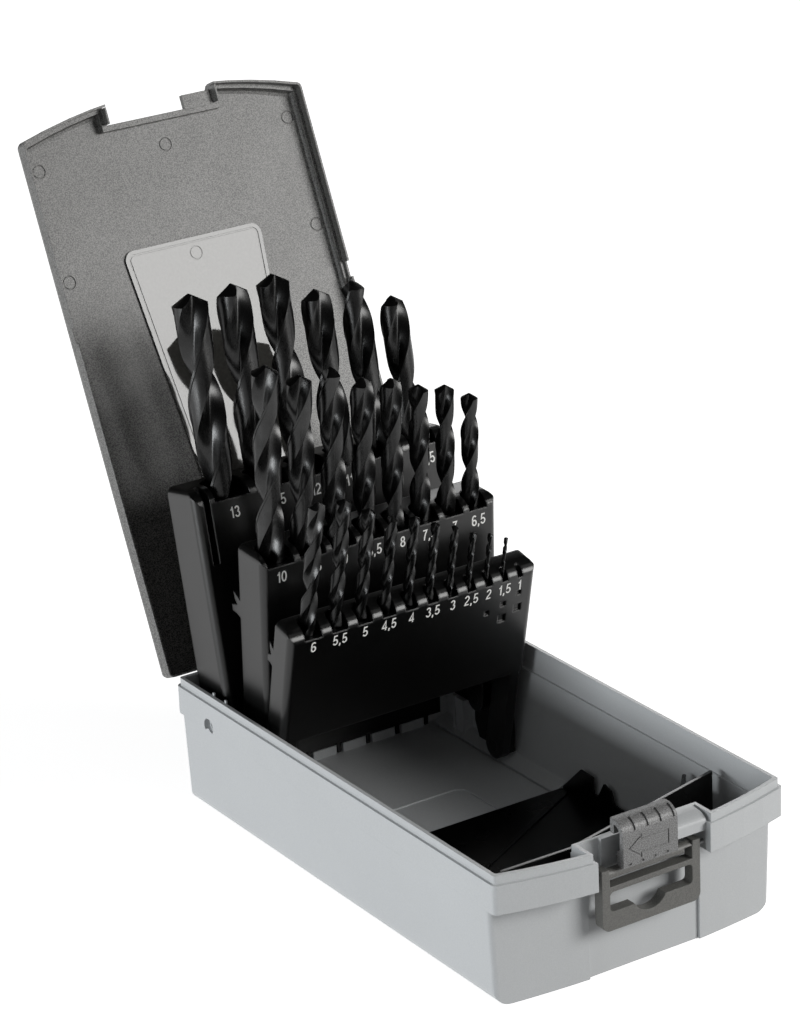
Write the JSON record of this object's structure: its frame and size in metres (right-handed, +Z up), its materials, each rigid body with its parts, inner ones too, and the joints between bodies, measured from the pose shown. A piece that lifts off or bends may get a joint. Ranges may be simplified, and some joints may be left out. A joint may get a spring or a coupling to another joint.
{
  "type": "drill bit case",
  "caption": "Open index case for twist drill bits: hinged lid, three stepped holders that rise with the lid, sliding latch and swing-out hanger.",
  "frame": {"origin": "centre of the case's underside", "axes": "X across the case to the right seen from the front, Y from the latch towards the hinge, Z up"},
  "size_m": [0.118, 0.3025, 0.2372],
  "materials": {
    "base_plastic": "fine matt, light cool grey",
    "lid_plastic": "fine spark-eroded texture, anthracite",
    "panel_gloss": "polished, almost mirror-like",
    "holder_plastic": "satin black",
    "insert_gloss": "glossy black",
    "latch_plastic": "speckled mid grey",
    "hanger_plastic": "matt warm dark grey",
    "bit_steel": "black oxide, ground edges",
    "pin_steel": "drawn steel"
  },
  "bodies": {
    "base": {"base_shell": "base_plastic", "lid_hinge_pins": "pin_steel", "holder_carrier": "holder_plastic", "rear_pivot_pins": "pin_steel", "middle_pivot_pins": "pin_steel", "front_pivot_pins": "pin_steel", "front_insert": "insert_gloss", "hanger_pins": "pin_steel"},
    "lid": {"lid_shell": "lid_plastic", "lid_panel": "panel_gloss"},
    "rear_row": {"rear_holder": "holder_plastic", "bit_13": "bit_steel", "bit_12_5": "bit_steel", "bit_12": "bit_steel", "bit_11_5": "bit_steel", "bit_11": "bit_steel", "bit_10_5": "bit_steel"},
    "middle_row": {"middle_holder": "holder_plastic", "bit_10": "bit_steel", "bit_9_5": "bit_steel", "bit_9": "bit_steel", "bit_8_5": "bit_steel", "bit_8": "bit_steel", "bit_7_5": "bit_steel", "bit_7": "bit_steel", "bit_6_5": "bit_steel"},
    "front_row": {"front_holder": "holder_plastic", "bit_6": "bit_steel", "bit_5_5": "bit_steel", "bit_5": "bit_steel", "bit_4_5": "bit_steel", "bit_4": "bit_steel", "bit_3_5": "bit_steel", "bit_3": "bit_steel", "bit_2_5": "bit_steel", "bit_2": "bit_steel", "bit_1_5": "bit_steel"},
    "latch": {"latch_slider": "latch_plastic"},
    "hanger": {"hanger": "hanger_plastic"}
  },
  "joints": [
    {"name": "lid_hinge", "type": "hinge", "parent": "base", "child": "lid", "pos_m": [0, 0.1021, 0.0465], "axis": [1, 0, 0], "range_deg": [0, 114.2]},
    {"name": "rear_row_hinge", "type": "hinge", "parent": "base", "child": "rear_row", "pos_m": [0, 0.0781, 0.0382], "axis": [1, 0, 0], "range_deg": [0, 101.4]},
    {"name": "middle_row_hinge", "type": "hinge", "parent": "base", "child": "middle_row", "pos_m": [0, 0.0634, 0.0246], "axis": [1, 0, 0], "range_deg": [0, 87.65]},
    {"name": "front_row_hinge", "type": "hinge", "parent": "base", "child": "front_row", "pos_m": [0, 0.0521, 0.0096], "axis": [1, 0, 0], "range_deg": [0, 77.5]},
    {"name": "latch_slide", "type": "slide", "parent": "base", "child": "latch", "axis": [1, 0, 0], "range_m": [0, 0.011]},
    {"name": "hanger_swing", "type": "hinge", "parent": "base", "child": "hanger", "pos_m": [0, -0.103, 0.0392], "axis": [-1, 0, 0], "range_deg": [0, 90]}
  ],
  "couplings": [
    {"joint": "rear_row_hinge", "follows": "lid_hinge", "ratio": 0.8879},
    {"joint": "middle_row_hinge", "follows": "lid_hinge", "ratio": 0.7675},
    {"joint": "front_row_hinge", "follows": "lid_hinge", "ratio": 0.6786}
  ]
}
